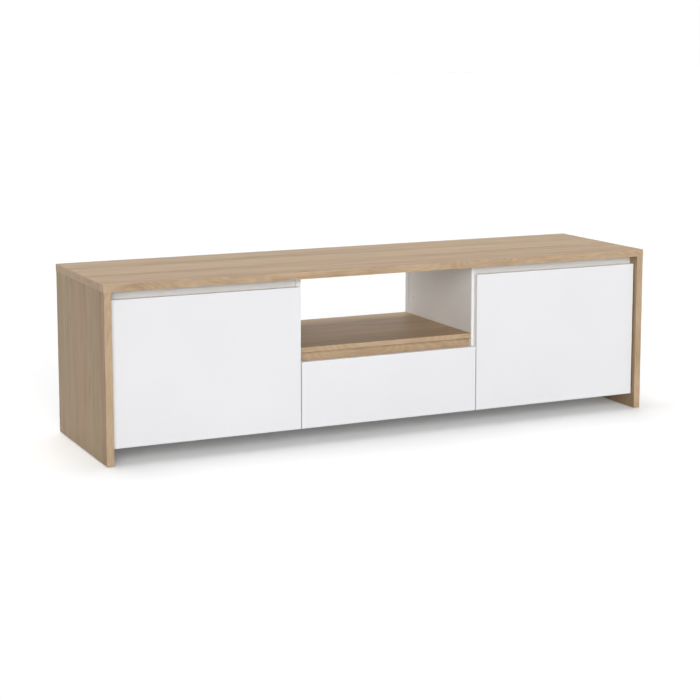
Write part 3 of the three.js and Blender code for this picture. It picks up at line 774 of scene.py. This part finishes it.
for side_name, side_sign in SIDES:
    make_pins(side_name, side_sign)
    make_feet(side_name)
    make_rollers(side_name)
    make_hinge_screws(side_name, side_sign)
    make_runner_screws(side_name, side_sign)
    make_connectors(side_name, side_sign)
    make_drawer_fittings(side_name, side_sign)
    make_bumpers(side_name, side_sign)


# ---- Stage, light and camera --------------------------------------------------------------

FLOOR_SIZE = 60.0


def build_floor(seen, given, glow):
    """A plain pale floor: one brightness as seen, and a lower one for the light it gives back."""
    mesh = bpy.data.meshes.new("floor")
    half = FLOOR_SIZE / 2
    corners = [(-half, -half, 0), (half, -half, 0), (half, half, 0), (-half, half, 0)]
    mesh.from_pydata(corners, [], [(0, 1, 2, 3)])
    floor = bpy.data.objects.new("floor", mesh)
    bpy.context.collection.objects.link(floor)
    surface = Surface("floor", roughness=0.9)
    path = surface.tree.nodes.new("ShaderNodeLightPath")
    direct = surface.math("MAXIMUM", path.outputs["Is Camera Ray"], path.outputs["Is Glossy Ray"])
    surface.color(surface.mix(direct, (*[given] * 3, 1), (*[seen] * 3, 1)))
    surface.shader.inputs["Specular IOR Level"].default_value = 0.0
    surface.shader.inputs["Emission Color"].default_value = (1, 1, 1, 1)
    surface.feed(surface.shader.inputs["Emission Strength"], surface.math("MULTIPLY", direct, glow))
    dress(floor, surface)


def build_world(seen, given):
    """An even white surround: one strength for what the camera sees, another for the light it gives."""
    world = bpy.data.worlds.new("studio")
    bpy.context.scene.world = world
    world.use_nodes = True
    nodes, links = world.node_tree.nodes, world.node_tree.links
    background = nodes["Background"]
    path = nodes.new("ShaderNodeLightPath")
    direct = nodes.new("ShaderNodeMath")
    direct.operation = "MAXIMUM"
    links.new(path.outputs["Is Camera Ray"], direct.inputs[0])
    links.new(path.outputs["Is Glossy Ray"], direct.inputs[1])
    strength = nodes.new("ShaderNodeMapRange")
    strength.inputs["To Min"].default_value = given
    strength.inputs["To Max"].default_value = seen
    links.new(direct.outputs[0], strength.inputs["Value"])
    links.new(strength.outputs[0], background.inputs["Strength"])
    background.inputs["Color"].default_value = (1, 1, 1, 1)


def soft_sun(name, azimuth, elevation, spread, strength, glossy=True):
    """A distant soft light. Azimuth 0 shines from the front and 90 from the right, in degrees."""
    data = bpy.data.lights.new(name, "SUN")
    data.angle = math.radians(spread)
    data.energy = strength
    light = bpy.data.objects.new(name, data)
    light.visible_glossy = glossy
    bpy.context.collection.objects.link(light)
    side, height = math.radians(azimuth), math.radians(elevation)
    from_place = Vector((
        math.sin(side) * math.cos(height),
        -math.cos(side) * math.cos(height),
        math.sin(height),
    ))
    light.rotation_euler = (-from_place).to_track_quat("-Z", "Y").to_euler()


def niche_light(radiance):
    """The bright background behind the niche, as the inside of the niche sees it."""
    low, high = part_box("centre_shelf")
    top_low, top_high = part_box("top_panel")
    data = bpy.data.lights.new("niche light", "AREA")
    data.shape = "RECTANGLE"
    data.size = high[0] - low[0]
    data.size_y = top_low[2] - high[2]
    data.energy = radiance * math.pi * data.size * data.size_y
    light = bpy.data.objects.new("niche light", data)
    light.visible_camera = False
    light.visible_glossy = False
    light.location = (0, top_high[1] + 0.02, (high[2] + top_low[2]) / 2)
    light.rotation_euler = Vector((0, -1, 0)).to_track_quat("-Z", "Z").to_euler()
    bpy.context.collection.objects.link(light)


def build_camera():
    """Seen from the left front, a little above; the shift keeps the uprights nearly parallel."""
    turned, tilted = math.radians(25.317), math.radians(7.947)
    data = bpy.data.cameras.new("camera")
    data.lens = 88.158
    data.sensor_width = 36
    data.shift_y = -0.12
    camera = bpy.data.objects.new("camera", data)
    bpy.context.collection.objects.link(camera)
    camera.location = (-1.9081, -3.9813, 1.0241)
    camera.rotation_euler = (math.pi / 2 - tilted, 0, -turned)
    bpy.context.scene.camera = camera


bpy.context.scene.view_settings.view_transform = "Standard"
build_floor(seen=1.0, given=0.48, glow=0.075)
build_world(seen=1.0, given=0.26)
soft_sun("overhead", azimuth=180, elevation=77, spread=36, strength=1.34)
soft_sun("front fill", azimuth=-20, elevation=18, spread=42, strength=2.38)
soft_sun("back light", azimuth=172, elevation=30, spread=50, strength=0.35, glossy=False)
niche_light(radiance=0.35)
build_camera()
